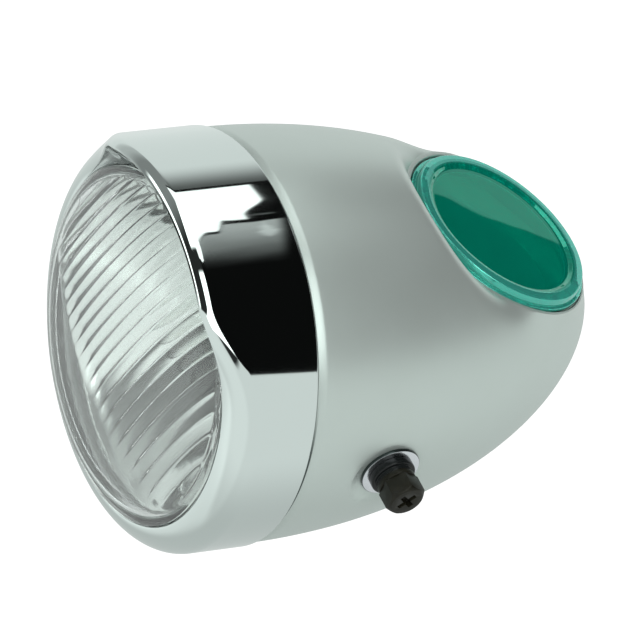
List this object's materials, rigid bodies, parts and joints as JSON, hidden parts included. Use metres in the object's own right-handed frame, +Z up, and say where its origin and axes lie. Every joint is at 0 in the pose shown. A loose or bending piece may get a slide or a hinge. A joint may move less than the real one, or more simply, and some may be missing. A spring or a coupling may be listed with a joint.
{
  "type": "round motorcycle headlight",
  "caption": "Egg-shaped motorcycle headlight with a peaked chrome rim, fluted glass lens, green speedometer hole cap and side hanging bolts.",
  "frame": {"origin": "where the line through both side bolts crosses the axis of the lamp", "axes": "-Y out through the lens, +Z up, +X out through the lamp's left side bolt"},
  "size_m": [0.13, 0.1472, 0.1174],
  "materials": {
    "shell_paint": "satin silver paint",
    "chrome": "polished chrome plate",
    "lens_glass": "clear fluted glass",
    "seal_rubber": "matt",
    "silvering": "silvered",
    "spring_steel": "bare spring steel",
    "bulb_glass": "clear bulb glass",
    "plated_brass": "drawn brass",
    "pressed_paper": "brown insulating board",
    "green_plastic": "translucent green moulding",
    "blackened_steel": "blackened",
    "black_collar": "black moulding",
    "bright_zinc": "bright zinc plate"
  },
  "bodies": {
    "root": {"shell": "shell_paint", "rim": "chrome", "lens": "lens_glass", "lens_gasket": "seal_rubber", "reflector": "silvering", "retaining_clips": "spring_steel", "bulb": "bulb_glass", "bulb_holder": "plated_brass", "contact_plate": "pressed_paper", "contact_pins": "plated_brass", "terminal_tabs": "plated_brass", "earth_tab": "plated_brass", "speedometer_hole_cap": "green_plastic", "cap_gasket": "seal_rubber", "cap_spring_ring": "spring_steel", "side_bolts": "blackened_steel", "side_spring_washers": "blackened_steel", "side_collars": "black_collar", "side_seat_washers": "bright_zinc", "side_nuts": "bright_zinc", "rim_hook": "spring_steel", "rim_screw": "bright_zinc", "rim_screw_nut": "bright_zinc", "cable_grommet": "seal_rubber"}
  },
  "joints": []
}
